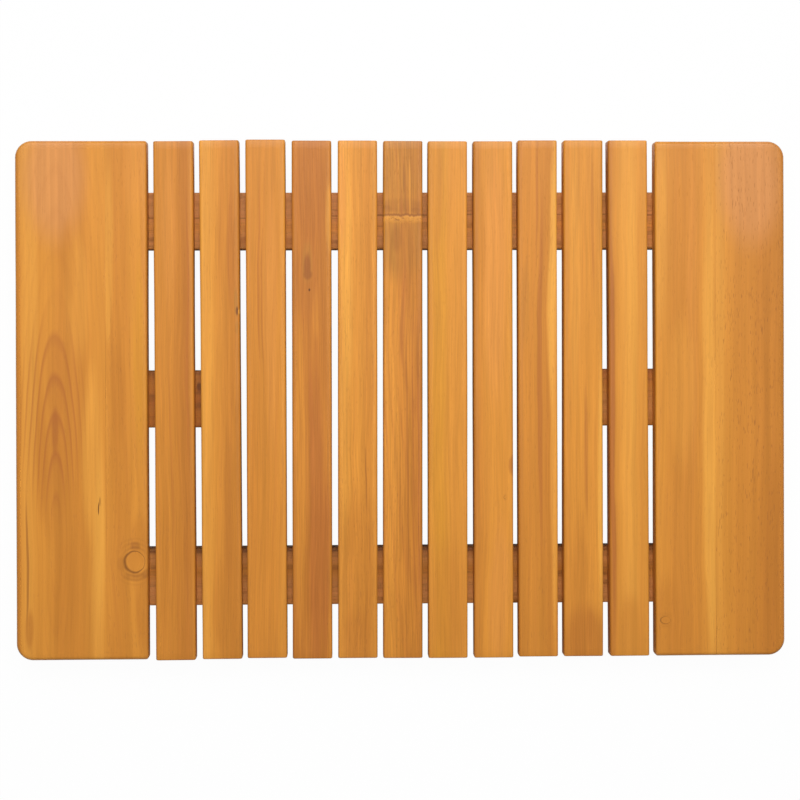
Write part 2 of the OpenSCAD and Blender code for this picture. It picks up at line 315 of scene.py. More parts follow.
def build_knot():
    """The wood in and round one knot."""
    inputs = {"Vector": "Vector", "Centre": "Vector", "Size": "Vector", "Seed": "Float"}
    outputs = {"Flow": "Vector", "Disc": "Float", "Bark": "Float", "Swirl": "Float"}
    tree, given, result = new_group("knot", inputs, outputs)
    offset, share = from_centre(tree, given)
    flat = stretch(tree, share, (1, 1, 0))
    ragged = noise(tree, flat, (1.3, 1.3, 1.3), given["Seed"], detail=3)
    radius = add(tree, "VectorMath", {0: flat}, operation="LENGTH").outputs["Value"]
    radius = maths(tree, "ADD", radius, maths(tree, "MULTIPLY_ADD", ragged, 0.2, -0.1))
    square = maths(tree, "MULTIPLY", radius, radius)

    # Fibres keep clear of the knot: close to it, their X shrinks towards the middle of the knot
    keep = maths(tree, "DIVIDE", square, maths(tree, "ADD", square, 0.8))
    at = add(tree, "SeparateXYZ", {0: offset}).outputs
    shrunk = maths(tree, "MULTIPLY", at["X"], keep)
    pulled = add(tree, "CombineXYZ", {"X": shrunk, "Y": at["Y"], "Z": at["Z"]})
    flow = add(tree, "VectorMath", {0: pulled.outputs[0], 1: given["Centre"]}, operation="ADD").outputs[0]

    # The bark is thicker on the side towards the root of the branch
    disc = maths(tree, "MULTIPLY_ADD", radius, -5.0, 5.0, clamp=True)
    edge = maths(tree, "ABSOLUTE", maths(tree, "SUBTRACT", radius, 1.0))
    side = add(tree, "SeparateXYZ", {0: flat}).outputs
    lean = maths(tree, "MULTIPLY_ADD", side["X"], -0.1, 0.12)
    thick = maths(tree, "MAXIMUM", maths(tree, "MULTIPLY_ADD", side["Y"], -0.03, lean), 0.04)
    bark = maths(tree, "SUBTRACT", 1.0, maths(tree, "DIVIDE", edge, thick), clamp=True)

    # Squeezed rings lie above and below the knot and fade away from it
    wave = maths(tree, "MULTIPLY_ADD", maths(tree, "SINE", maths(tree, "MULTIPLY", radius, 15.0)), 0.5, 0.5)
    fade = maths(tree, "MULTIPLY_ADD", radius, -0.62, 1.62, clamp=True)
    upright = maths(tree, "ABSOLUTE", side["Y"])
    upright = maths(tree, "DIVIDE", upright, maths(tree, "MAXIMUM", radius, 0.2), clamp=True)
    outside = maths(tree, "MULTIPLY_ADD", radius, 8.0, -8.0, clamp=True)
    swirl = maths(tree, "MULTIPLY", maths(tree, "MULTIPLY", wave, fade), maths(tree, "POWER", upright, 3.0))
    swirl = maths(tree, "MULTIPLY", swirl, outside)
    fill(tree, result, {"Flow": flow, "Disc": disc, "Bark": bark, "Swirl": swirl})
    return tree


KNOT = build_knot()
print("knot group:", len(KNOT.nodes), "nodes")

# %% [markdown]
# ## Streaks
# Minerals, sapwood and old bruises leave long soft streaks, and a few streaks are painted sheen
# and painted shade instead. Each is an ellipse of another tone, solid in the middle and fading to
# nothing at its rim, laid over the colour of the board.

# %% The streak group
def build_patch():
    """An ellipse that is 1 in its middle and fades to 0 at its rim."""
    inputs = {"Vector": "Vector", "Centre": "Vector", "Size": "Vector"}
    tree, given, result = new_group("patch", inputs, {"Amount": "Float"})
    share = from_centre(tree, given)[1]
    radius = add(tree, "VectorMath", {0: share}, operation="LENGTH").outputs["Value"]
    fade = add(tree, "MapRange", {"Value": radius, "From Min": 1.0, "From Max": 0.45},
               interpolation_type="SMOOTHSTEP")
    fill(tree, result, {"Amount": fade.outputs[0]})
    return tree


PATCH = build_patch()
DEEP = 1.0  # a streak runs right through the board, so its size in depth is a whole metre
print("patch group:", len(PATCH.nodes), "nodes")


def patch(tree, place, x, y, wide, tall):
    """How much of a streak there is, for a middle and half sizes in millimetres."""
    return use_group(tree, PATCH, {"Vector": place, "Centre": (x * MM, y * MM, 0),
                                   "Size": (wide * MM, tall * MM, DEEP)})["Amount"]


# %% [markdown]
# ## Wood as a material
# One function turns a short description of a board into its material. The description holds the
# tones across the board from left to right, the streaks and knots in millimetres from the
# board's middle, and how strongly the rings show. The varnish is satin: a rough base with a
# thin smoother coat, and the bump comes from the same fibres and pores as the colour.

# %% The wood material
def wood(name, centre, width, tones, seed, heart, ring, ring_strength, streaks=(), knots=(),
         ring_patch=None, pores=0.11, fibres=2.2, crack=None, stains=0.0, turned=False, roughness=0.42):
    """Varnished acacia. Lengths are in millimetres, apart from centre and width."""
    material, tree, shader = new_material(name)
    place = add(tree, "TexCoord").outputs["Object"]
    angle = math.radians(90) if turned else 0.0
    place = add(tree, "Mapping", {"Vector": place, "Location": centre, "Rotation": (0, 0, angle)},
                vector_type="TEXTURE").outputs[0]
    straight = place

    # Knots push the fibres aside before anything else reads them
    marks = []
    for x, y, wide, tall, strength in knots:
        knot = use_group(tree, KNOT, {"Vector": place, "Centre": (x * MM, y * MM, 0),
                                      "Size": (wide * MM, tall * MM, 1), "Seed": seed})
        place = knot["Flow"]
        marks.append((knot, strength))
    grain = use_group(tree, GRAIN, {"Vector": place, "Seed": seed, "Ring": ring * MM,
                                    "Heart": (heart[0] * MM, heart[1], heart[2] * MM)})

    across = add(tree, "SeparateXYZ", {0: grain["Wander"]}).outputs["X"]
    share = maths(tree, "MULTIPLY_ADD", across, 1 / width, 0.5)
    last = len(tones) - 1
    colour = ramp(tree, share, [(n / last, tone) for n, tone in enumerate(tones)])
    for x, y, wide, tall, tone, strength in streaks:
        amount = patch(tree, grain["Wander"], x, y, wide, tall)
        colour = mix(tree, maths(tree, "MULTIPLY", amount, strength), colour, tone)

    # Pink and olive clouds, then light and shade within the tone
    pink = maths(tree, "MULTIPLY_ADD", grain["Cloud"], 2.4, -1.25, clamp=True)
    olive = maths(tree, "MULTIPLY_ADD", grain["Cloud"], -2.4, 1.15, clamp=True)
    colour = mix(tree, maths(tree, "MULTIPLY", pink, 0.4), colour, ROSE)
    colour = mix(tree, maths(tree, "MULTIPLY", olive, 0.3), colour, OLIVE)
    depth = maths(tree, "MULTIPLY_ADD", grain["Streak"], 0.4, 0.8)
    lines = maths(tree, "MULTIPLY_ADD", grain["Fibre"], 0.2 * fibres, 1 - 0.1 * fibres)
    depth = maths(tree, "MULTIPLY", depth, lines)
    shade = add(tree, "CombineColor", {0: depth, 1: depth, 2: depth}).outputs[0]
    colour = mix(tree, 1.0, colour, shade, "MULTIPLY")

    if stains:
        # Rough wood that nobody sees keeps its dirty and bleached patches
        stain = noise(tree, place, (230, 46, 230), seed + 2.2, detail=3, roughness=0.6)
        dark = maths(tree, "MULTIPLY_ADD", stain, 6.0, -3.2, clamp=True)
        bleached = maths(tree, "MULTIPLY_ADD", stain, -6.0, 2.5, clamp=True)
        colour = mix(tree, maths(tree, "MULTIPLY", dark, stains), colour, UMBER)
        colour = mix(tree, maths(tree, "MULTIPLY", bleached, stains * 0.6), colour, BUTTER)

    # Rings, pores and knots
    rings = maths(tree, "MULTIPLY", grain["Rings"], ring_strength)
    if ring_patch:
        fade = maths(tree, "MULTIPLY_ADD", patch(tree, straight, *ring_patch), 0.85, 0.15)
    else:
        fade = maths(tree, "MULTIPLY_ADD", grain["Streak"], 1.6, -0.3, clamp=True)
    colour = mix(tree, maths(tree, "MULTIPLY", rings, fade), colour, RUSSET)
    colour = mix(tree, maths(tree, "MULTIPLY", grain["Pores"], pores), colour, UMBER)
    for knot, strength in marks:
        colour = mix(tree, maths(tree, "MULTIPLY", knot["Swirl"], 0.6 * strength), colour, UMBER)
        colour = mix(tree, maths(tree, "MULTIPLY", knot["Disc"], 0.3 * strength), colour, CARAMEL)
        colour = mix(tree, maths(tree, "MULTIPLY", knot["Bark"], 0.9 * strength), colour, BARK)

    height = maths(tree, "MULTIPLY_ADD", grain["Fibre"], 0.5, maths(tree, "MULTIPLY", grain["Streak"], 0.7))
    height = maths(tree, "SUBTRACT", height, grain["Pores"])
    if crack:
        # A jagged line across the grain: a dark step with a pale ridge of torn fibres below it
        jag = noise(tree, straight, (190, 30, 0), seed, detail=4, roughness=0.6)
        at = add(tree, "SeparateXYZ", {0: straight}).outputs["Y"]
        below = maths(tree, "SUBTRACT", crack * MM, maths(tree, "MULTIPLY_ADD", jag, 7 * MM, -3.5 * MM))
        below = maths(tree, "MULTIPLY", maths(tree, "SUBTRACT", below, at), 1 / (10 * MM))
        step = ramp(tree, below, [(0.0, 0), (0.1, 0.95), (0.16, 0.9), (0.24, 0)])
        ridge = ramp(tree, below, [(0.18, 0), (0.28, 1), (0.5, 0.8), (0.75, 0)])
        torn = noise(tree, straight, (330, 520, 0), seed + 4.4, detail=3, roughness=0.65)
        pits = maths(tree, "MULTIPLY", ridge, maths(tree, "MULTIPLY_ADD", torn, -9.0, 3.9, clamp=True))
        ridge = maths(tree, "MULTIPLY", ridge, maths(tree, "MULTIPLY_ADD", torn, 5.0, -1.7, clamp=True))
        colour = mix(tree, maths(tree, "MULTIPLY", pits, 0.7), colour, UMBER)
        colour = mix(tree, maths(tree, "MULTIPLY", ridge, 0.7), colour, BUTTER)
        colour = mix(tree, maths(tree, "MULTIPLY", step, 0.8), colour, UMBER)
        height = maths(tree, "MULTIPLY_ADD", ridge, 3.0, height)
    bump = add(tree, "Bump", {"Height": height, "Strength": 0.22, "Distance": 0.12 * MM}).outputs[0]
    rough = maths(tree, "MULTIPLY_ADD", grain["Streak"], 0.12, roughness - 0.06)
    rough = maths(tree, "MULTIPLY_ADD", grain["Pores"], 0.15, rough)
    fill(tree, shader, {"Base Color": colour, "Roughness": rough, "Normal": bump, "IOR": 1.5,
                        "Specular IOR Level": 0.35, "Coat Weight": 0.1, "Coat Roughness": 0.3})
    return material


# %% [markdown]
# ## The boards, one by one
# No two boards are alike, so each has its own entry: the tones across it from left to right, its
# streaks as (x, y, half width, half length, tone, strength), its knots as (x, y, half width, half
# length, strength) and where the heart of its tree lies. Lengths are in millimetres, measured
# from the middle of the board.

# %% What each board looks like
BOARDS = {
    "left_outer_stave": dict(
        seed=11.3, fibres=0.8, heart=(-4, -0.12, -6), ring=3.3, ring_strength=0.7,
        ring_patch=(-6, -10, 30, 85),
        tones=[HONEY, BUTTER, HONEY, HONEY, AMBER, AMBER, AMBER, HONEY, HONEY],
        streaks=[
            (-22, 50, 7, 120, BUTTER, 0.9), (12, 75, 12, 60, BUTTER, 0.6),
            (22, -38, 9.5, 80, BUTTER, 0.95), (27.5, -120, 6.5, 120, BUTTER, 0.95),
            (28, -100, 4.5, 75, CREAM, 0.7), (-4, 8, 8, 46, CHESTNUT, 0.45),
            (-4.5, -22, 3.0, 22, RUSSET, 0.75), (-6, -62, 11, 60, CHESTNUT, 0.38),
            (-14, -40, 5, 60, CARAMEL, 0.6), (-25, -118, 1.2, 62, UMBER, 0.6),
            (-23, -165, 4, 18, CHESTNUT, 0.6), (27.4, -78, 0.5, 6, BARK, 0.9),
            # The caramel strip along the whole left rim (x -31) is painted shade of the rounded edge
            (-31, 0, 2.6, 400, CARAMEL, 0.75), (28.3, -73, 0.4, 4.5, BARK, 0.8),
            # The wide pale pink patch at the far end (y 160) is a painted sheen of the back lamp on the
            # varnish
            (-4, 160, 30, 60, BLUSH_AND_SHEEN, 0.75), (6, 100, 6, 40, CARAMEL, 0.4),
            (2, -140, 15, 55, CARAMEL, 0.5),
        ]),
    "left_inner_stave": dict(
        seed=23.9, fibres=1.0, heart=(40, 0.05, -30), ring=4.5, ring_strength=0.25, pores=0.2,
        tones=[HONEY, AMBER, AMBER, AMBER, HONEY, HONEY, AMBER],
        streaks=[
            (-12, 110, 5, 75, BUTTER, 0.9), (-12.5, 60, 2.2, 26, BUTTER, 0.8), (6, 165, 9, 40, ROSE, 0.4),
            (-6, 5, 7, 50, CARAMEL, 0.7), (10, 30, 6, 90, OCHRE, 0.7), (-12, -110, 5, 80, HONEY, 0.7),
            (9, -100, 8, 22, CARAMEL, 0.6), (12, -150, 8, 40, CARAMEL, 0.7),
            (5.6, -105, 3.6, 4.0, UMBER, 0.4), (6, -127, 8, 4.0, UMBER, 0.3),
            (-1.5, -118, 3.5, 7, UMBER, 0.22), (12, -125, 4, 4.5, UMBER, 0.35),
        ],
        knots=[(5.6, -116.4, 7.3, 7.6, 0.8)]),
    "slat_01": dict(
        seed=31.7, heart=(30, 0.03, -25), ring=4.0, ring_strength=0.3,
        tones=[AMBER, AMBER, AMBER, CARAMEL, CHESTNUT, AMBER],
        streaks=[
            (9.5, 10, 3.5, 200, CHESTNUT, 0.8), (10.2, 60, 1.2, 130, RUSSET, 0.5),
            (-3, 120, 7, 70, ROSE, 0.5), (-2, -60, 1.0, 120, RUSSET, 0.3),
            (-7, -120, 3, 70, CARAMEL, 0.6),
        ]),
    "slat_02": dict(
        seed=42.1, heart=(-40, 0.04, -30), ring=5.0, ring_strength=0.25,
        tones=[BUTTER, BUTTER, HONEY, AMBER, CARAMEL, CARAMEL],
        streaks=[
            (-9, 60, 5.5, 190, BUTTER, 0.9), (2, 130, 3, 60, CARAMEL, 0.6), (9, 110, 4, 60, RUSSET, 0.35),
            (6, -90, 4, 90, CHESTNUT, 0.6), (2, -150, 8, 45, CARAMEL, 0.7),
            (11.6, 70, 1.8, 14, OLIVE, 0.9), (12.2, 64, 1.2, 4, BARK, 0.8),
            (13.6, 63.5, 1.0, 2.4, CREAM, 0.9), (11.8, 52, 1.4, 7, OLIVE, 0.7),
        ]),
    "slat_03": dict(
        seed=57.3, heart=(24, -0.03, -16), ring=3.2, ring_strength=0.35,
        tones=[AMBER, AMBER, AMBER, AMBER, AMBER, HONEY],
        streaks=[
            (-3.0, 95, 0.9, 90, RUSSET, 0.5), (-0.8, 70, 0.8, 60, RUSSET, 0.45),
            (5, 60, 6, 120, ROSE, 0.5), (-8, -60, 4, 110, CARAMEL, 0.4),
        ]),
    "slat_04": dict(
        seed=64.8, fibres=3.2, heart=(14, 0.02, -12), ring=2.8, ring_strength=0.4,
        tones=[CHESTNUT, CHESTNUT, CHESTNUT, CHESTNUT, CHESTNUT, CARAMEL],
        streaks=[
            (0, 150, 16, 60, RUSSET, 0.4), (12.5, 132, 3.5, 32, BUTTER, 0.7),
            (-8, -50, 6, 150, AMBER, 0.95), (4, -100, 7, 150, RUSSET, 0.7),
            (11, -120, 4, 90, RUSSET, 0.7), (0, -20, 2.5, 60, RUSSET, 0.6), (-2.5, 99, 5, 19, OLIVE, 1.0),
            (-2.5, 96, 3.2, 12, UMBER, 1.0), (-2, 90, 4, 4.5, UMBER, 0.9), (3.5, 62, 2.5, 24, AMBER, 0.7),
            (-3, 84, 12, 40, RUSSET, 0.3), (-0.7, 79, 0.9, 1.4, BARK, 1.0),
        ]),
    "slat_05": dict(
        seed=73.5, fibres=3.2, heart=(-30, 0.03, -30), ring=4.2, ring_strength=0.22, pores=0.22,
        tones=[HONEY, BUTTER, HONEY, HONEY, AMBER, HONEY],
        streaks=[
            (-6, 90, 5, 110, CREAM, 0.6), (-10, 150, 4, 50, ROSE, 0.7), (10.4, 20, 2.2, 190, AMBER, 0.6),
            (7.5, -60, 0.7, 34, UMBER, 0.6), (8.6, -105, 0.7, 22, UMBER, 0.6),
            (7.2, -150, 0.7, 26, UMBER, 0.5), (0, -130, 18, 85, CARAMEL, 0.75),
            (0, -175, 16, 30, CHESTNUT, 0.5),
        ]),
    "slat_06": dict(
        seed=85.2, fibres=4.5, heart=(10, 0.05, -14), ring=2.9, ring_strength=0.5, crack=134, pores=0.25,
        tones=[AMBER, HONEY, AMBER, CARAMEL, CARAMEL, CHESTNUT],
        streaks=[
            (0, 112, 19, 34, OLIVE, 0.95), (3, 105, 9, 46, CHESTNUT, 0.6), (-4, 116, 5, 13, UMBER, 0.35),
            (0, 140, 19, 7, UMBER, 0.45), (-11, 137, 6, 4, UMBER, 0.4), (10, 136, 5, 3, UMBER, 0.4),
            (1.6, 160, 0.9, 14, UMBER, 0.9), (0.2, 142, 1.0, 14, RUSSET, 0.8),
            (3, 150, 0.6, 26, UMBER, 0.6), (0, 168, 22, 40, OLIVE, 0.65), (-6, -10, 6, 90, HONEY, 0.8),
            (1, 60, 2.0, 50, RUSSET, 0.5), (4.2, -40, 0.9, 130, UMBER, 0.5),
            (8.5, -60, 0.9, 140, RUSSET, 0.8), (11, -60, 5, 150, CHESTNUT, 0.7),
            (12.4, -50, 0.8, 130, RUSSET, 0.6), (-2, 155, 1.0, 30, HONEY, 0.8),
            (6, 150, 1.0, 34, HONEY, 0.7), (2, -160, 10, 50, CARAMEL, 0.5),
        ]),
    "slat_07": dict(
        seed=96.4, heart=(36, -0.02, -30), ring=4.6, ring_strength=0.16,
        tones=[AMBER, OCHRE, OCHRE, HONEY, HONEY, HONEY],
        streaks=[(-7, 150, 6, 60, AMBER, 0.6), (0, -150, 18, 60, CARAMEL, 0.5)]),
    "slat_08": dict(
        seed=107.9, heart=(-26, 0.03, -22), ring=4.0, ring_strength=0.18,
        tones=[CHESTNUT, AMBER, HONEY, HONEY, HONEY, HONEY],
        streaks=[
            (2, 90, 11, 120, ROSE, 0.9), (-7, 110, 2, 50, CARAMEL, 0.5),
            (12.9, -48.3, 3.4, 9, CHESTNUT, 0.9), (4, -140, 9, 70, ROSE, 0.7),
        ],
        knots=[(8.5, -71.5, 0.9, 1.1, 0.9)]),
    "slat_09": dict(
        seed=118.6, fibres=1.5, heart=(-24, 0.02, -20), ring=3.6, ring_strength=0.3, pores=0.2,
        tones=[CARAMEL, AMBER, AMBER, AMBER, CARAMEL, HONEY],
        streaks=[
            (11.5, 90, 5.0, 130, CREAM, 1.0), (12.5, -60, 3.5, 140, BUTTER, 0.8),
            (2.4, 20, 2.4, 180, RUSSET, 0.6), (-1, 150, 1.2, 60, RUSSET, 0.4),
            (-8, 70, 4, 40, OLIVE, 0.4),
        ]),
    "slat_10": dict(
        seed=129.2, heart=(28, -0.03, -26), ring=4.4, ring_strength=0.22,
        tones=[AMBER, HONEY, HONEY, HONEY, HONEY, HONEY],
        streaks=[
            (12.6, -70, 4.0, 130, CREAM, 1.0), (6.5, 130, 1.6, 60, RUSSET, 0.35),
            (-6, 90, 5, 120, BUTTER, 0.6), (1.4, -40, 1.8, 60, RUSSET, 0.45),
            (2.8, -164, 5, 14, CHESTNUT, 0.8), (-4, -140, 9, 70, CARAMEL, 0.6),
            (0, -176, 20, 34, CHESTNUT, 0.85),
        ]),
    "slat_11": dict(
        seed=141.3, fibres=1.2, heart=(-34, 0.03, -26), ring=4.2, ring_strength=0.2,
        tones=[CHESTNUT, HONEY, BUTTER, BUTTER, HONEY, HONEY],
        streaks=[
            (-12, -20, 2.6, 200, RUSSET, 0.8), (3, 60, 5, 130, CREAM, 0.4), (0, -170, 14, 35, AMBER, 0.7),
        ]),
    "right_inner_stave": dict(
        seed=152.8, fibres=1.4, heart=(-46, 0.04, -34), ring=4.8, ring_strength=0.2, pores=0.15,
        tones=[HONEY, HONEY, AMBER, AMBER, AMBER, HONEY, HONEY],
        streaks=[
            (-17, 120, 6, 90, BUTTER, 0.8), (18.5, -20, 6.5, 230, CREAM, 0.75),
            (19, -110, 4.5, 90, CREAM, 0.8), (6, 60, 5, 150, ROSE, 0.35), (-2, 5, 14, 70, BUTTER, 0.45),
            (-12, -165, 16, 45, CARAMEL, 0.6),
        ],
        knots=[(-14.5, -161.3, 3.6, 2.6, 0.7)]),
    "right_outer_stave": dict(
        seed=163.4, fibres=1.0, heart=(50, -0.03, -34), ring=4.6, ring_strength=0.2, pores=0.45,
        tones=[BUTTER, HONEY, AMBER, AMBER, CARAMEL, CARAMEL, CARAMEL],
        streaks=[
            # The wide pale pink patch at the far end (y 158) is a painted sheen of the back lamp on the
            # varnish
            (-22, 20, 3.5, 200, BUTTER, 0.7), (0, 158, 30, 62, BLUSH_AND_SHEEN, 0.8),
            (18, -120, 10, 110, CHESTNUT, 0.5),
        ]),
}

# %% [markdown]
# ## How the boards lie
# Whoever screwed the mat together laid the slats by eye, so none is quite square. Each entry is
# how far the far end and the near end of a board miss their places, sideways, and how far the
# board sits along its own length, in millimetres. Glued staves move together.

# %% Uneven laying
LAID = {
    "slat_01": (0.3, 1.2, -0.7), "slat_02": (0.3, 1.7, -0.1), "slat_03": (0.7, 1.1, 0.4),
    "slat_04": (1.1, 0.7, -0.3), "slat_05": (1.35, 0.55, -0.2), "slat_06": (1.2, 0.15, -0.5),
    "slat_07": (0.5, -0.1, -0.7), "slat_08": (0.35, 0.2, -0.75), "slat_09": (-0.3, -0.3, -0.15),
    "slat_10": (0.0, -0.5, -0.15), "slat_11": (-0.65, 0.35, -0.2),
    "left_outer_stave": (0, 0, -0.25), "left_inner_stave": (0, 0, -0.25),
    "right_inner_stave": (0.6, 0.6, -0.7), "right_outer_stave": (0.6, 0.6, -0.7),
}


def lay(piece, node):
    """Turns and shifts a finished board to the place where it was screwed down."""
    far, close, lengthwise = LAID[node]
    low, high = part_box(node)
    bpy.ops.mesh.select_all(action="SELECT")
    bpy.ops.transform.translate(value=((far + close) / 2 * MM, lengthwise * MM, 0))
    turn = math.atan2((far - close) * MM, high.y - low.y)
    bpy.ops.transform.rotate(value=turn, orient_axis="Z", center_override=(low + high) / 2)


print("laid by eye:", len(LAID), "boards")

# %% [markdown]
# ## Shaping a board
# A slat has its long edges rounded on the moulder, and then its ends are eased with sandpaper.
# A bevel with a few segments is such a rounding. The end boards have big round corners on the
# outside, and the two staves of each meet in a glue line whose edges stay sharp.

# %% The board shapes
EDGE_ROUND = 1.75 * MM  # along the gaps
RIM_ROUND = 3.0 * MM  # round the outside of the mat
END_ROUND = 0.9 * MM  # across the ends of the slats
CORNER_ROUND = 12.0 * MM  # the four corners of the mat
GRID_ALONG = 6.0 * MM
GRID_ACROSS = 3.6 * MM


def bevel(width, segments):
    """Rounds the selected edges."""
    bpy.ops.mesh.bevel(offset=width, offset_type="OFFSET", segments=segments, affect="EDGES")


def shape_slat(node):
    """A narrow board with all its edges eased."""
    low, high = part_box(node)
    piece = start_block(node + "_wood", low, high)
    pick(piece, "EDGE", lambda p: along(1, p))
    bevel(EDGE_ROUND, 5)
    pick(piece, "EDGE", lambda p: any(all(near(v.y, end) for v in p) for end in (low.y, high.y)))
    bevel(END_ROUND, 3)
    return piece


def shape_inner_stave(node, gap_side):
    """The stave of an end board that lies beside the first gap."""
    low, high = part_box(node)
    piece = start_block(node + "_wood", low, high)
    pick(piece, "EDGE", lambda p: along(0, p))
    bevel(RIM_ROUND, 6)
    gap_x = (low, high)[gap_side].x
    pick(piece, "EDGE", lambda p: all(near(v.x, gap_x) for v in p))
    bevel(EDGE_ROUND, 5)
    return piece


def shape_outer_stave(node, rim_side):
    """The stave with two of the mat's four corners."""
    low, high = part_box(node)
    rim_x, glue_x = (low, high)[rim_side].x, (low, high)[1 - rim_side].x
    piece = start_block(node + "_wood", low, high)
    pick(piece, "EDGE", lambda p: along(2, p) and near(p[0].x, rim_x))
    bevel(CORNER_ROUND, 14)
    pick(piece, "EDGE", lambda p: near(p[0].z, p[1].z) and not all(near(v.x, glue_x) for v in p))
    bevel(RIM_ROUND, 6)
    return piece


WAVE_HEIGHT = 0.35 * MM
WAVES = bpy.data.textures.new("sanding waves", "CLOUDS")
WAVES.noise_scale = 0.11
WAVES.noise_depth = 1


def finish_board(piece, node):
    """Lays a board in its place, gives it slight waves and the wood that its entry describes."""
    slice_block(piece, 1, GRID_ALONG)
    slice_block(piece, 0, GRID_ACROSS)
    lay(piece, node)
    bpy.ops.object.mode_set(mode="OBJECT")
    use_modifier(piece, "DISPLACE", texture=WAVES, texture_coords="GLOBAL", strength=WAVE_HEIGHT,
                 mid_level=0.5)
    low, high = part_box(node)
    acacia = wood(node + "_acacia", (low + high) / 2, high.x - low.x, **BOARDS[node])
    finish_piece(piece, node, acacia)
    print(node, len(piece.data.polygons), "faces")


# %% [markdown]
# ## Making the boards
# The boards are made from left to right. A node's box has two corners, and the first of them is
# on the left, so 0 and 1 also say which side of a stave is meant.

# %% Make all fifteen boards
LEFT, RIGHT = 0, 1
for node in BOARDS:
    side = LEFT if node.startswith("left") else RIGHT
    if node.endswith("outer_stave"):
        board = shape_outer_stave(node, side)
    elif node.endswith("inner_stave"):
        board = shape_inner_stave(node, 1 - side)
    else:
        board = shape_slat(node)
    finish_board(board, node)

# %% [markdown]
# ## Turned parts
# Screws, washers and feet are round, so each is drawn as half a section and spun about its axis,
# as on a lathe. The section starts as a single point, and each step extrudes it to the next one.

# %% The lathe
def middle(node):
    """The centre of a CAD node's box."""
    low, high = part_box(node)
    return (low + high) / 2


def lathe(name, centre, section, steps=48):
    """Spins a section of (radius, height) points in millimetres about an upright axis."""
    bpy.ops.object.select_all(action="DESELECT")
    radius, height = section[0]
    bpy.ops.mesh.primitive_plane_add(size=MM, location=centre + Vector((radius, 0, height)) * MM)
    part = bpy.context.active_object
    part.name = part.data.name = name
    bpy.ops.object.transform_apply(location=True, rotation=True, scale=True)
    bpy.ops.object.mode_set(mode="EDIT")
    bpy.ops.mesh.select_mode(type="VERT")  # a single point can only be extruded in this mode
    bpy.ops.mesh.select_all(action="SELECT")
    bpy.ops.mesh.merge(type="CENTER")
    for (r0, z0), (r1, z1) in zip(section, section[1:]):
        step = ((r1 - r0) * MM, 0, (z1 - z0) * MM)
        bpy.ops.mesh.extrude_region_move(TRANSFORM_OT_translate={"value": step})
    bpy.ops.mesh.select_all(action="SELECT")
    bpy.ops.mesh.spin(steps=steps, angle=math.tau, center=centre, axis=(0, 0, 1))
    bpy.ops.mesh.select_all(action="SELECT")
    bpy.ops.mesh.remove_doubles(threshold=0.005 * MM)
    bpy.ops.mesh.normals_make_consistent(inside=False)
    bpy.ops.object.mode_set(mode="OBJECT")
    return part


def copy_to(master, name, places):
    """Sets copies of a part, each with its own mesh, at these places and joins them into one piece."""
    copies = []
    for number, place in enumerate(places):
        bpy.ops.object.select_all(action="DESELECT")
        master.select_set(True)
        bpy.context.view_layer.objects.active = master
        bpy.ops.object.duplicate()
        copy = bpy.context.active_object
        copy.location = place
        copy.rotation_euler.z = 0.65 * number  # no two screws stop at the same angle
        bpy.ops.object.transform_apply(location=True, rotation=True, scale=True)
        copies.append(copy)
    bpy.ops.object.select_all(action="DESELECT")
    for copy in copies:
        copy.select_set(True)
    bpy.context.view_layer.objects.active = copies[0]
    bpy.ops.object.join()
    copies[0].name = copies[0].data.name = name
    return copies[0]


def throw_away(*tools):
    """Deletes tools that have done their work."""
    bpy.ops.object.select_all(action="DESELECT")
    for tool in tools:
        tool.select_set(True)
    bpy.ops.object.delete()


# %% [markdown]
# ## Rails and cleats
# They are of the same tree but redder and rougher, because nobody sees them. Their grain runs
# along X, across the boards. A batten is a bar with its corners and edges taken off. Each screw
# hole is cut by a drill bit with a countersink, which a boolean modifier takes out of the bar.

# %% Battens
SCREW_ROWS = {  # the boards that each batten holds
    "front_rail": list(BOARDS),
    "rear_rail": list(BOARDS),
    "left_cleat": ["left_outer_stave", "left_inner_stave", "slat_01", "slat_02"],
    "right_cleat": ["slat_10", "slat_11", "right_inner_stave", "right_outer_stave"],
}
BATTEN_CORNER = 4.0 * MM
BATTEN_EDGE = 1.5 * MM
BATTEN_LOOK = {
    "front_rail": dict(
        tones=[BATTEN_BROWN, BLUSH_AND_SHEEN, BATTEN_BROWN, CARAMEL, BATTEN_BROWN, UMBER], stains=0.85,
        streaks=[(19.5, 0, 2.2, 900, BARK, 0.75), (6, 60, 2.5, 90, UMBER, 0.5)]),
    "rear_rail": dict(
        tones=[BATTEN_BROWN, BLUSH_AND_SHEEN, ROSE, BLUSH_AND_SHEEN, BATTEN_BROWN, BLUSH_AND_SHEEN], stains=0.6,
        streaks=[(2.6, 180, 0.9, 130, UMBER, 0.8), (5.2, 0, 0.9, 100, UMBER, 0.8),
                 (3.6, -180, 0.9, 120, UMBER, 0.8), (-14, 90, 4, 60, RUSSET, 0.6)]),
    "left_cleat": dict(
        tones=[RUSSET, CHESTNUT, RUSSET, CHESTNUT, UMBER], stains=0.9,
        streaks=[(9, -44, 4.2, 3.0, BARK, 1.0), (-4, -44, 3, 8, UMBER, 0.7), (2, -8, 4, 7, UMBER, 0.7)]),
    "right_cleat": dict(
        tones=[CHESTNUT, BATTEN_BROWN, BATTEN_BROWN, CARAMEL, RUSSET], stains=0.8),
}
SCREW_SINK = 1.0  # how deep the screw heads lie in the battens, in millimetres
SINK_RADIUS = 3.52
DRILL_RADIUS = 1.9
THROUGH = 17  # further than a batten is thick
DRILL_BIT = [(0, -2), (SINK_RADIUS, -2), (SINK_RADIUS, SCREW_SINK + 0.25),
             (DRILL_RADIUS, SCREW_SINK + 1.87), (DRILL_RADIUS, THROUGH), (0, THROUGH)]


def screw_places(batten):
    """Where the screw heads of a batten are: one under the middle of each board."""
    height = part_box(batten)[0].z
    return [Vector((middle(board).x, middle(batten).y, height)) for board in SCREW_ROWS[batten]]


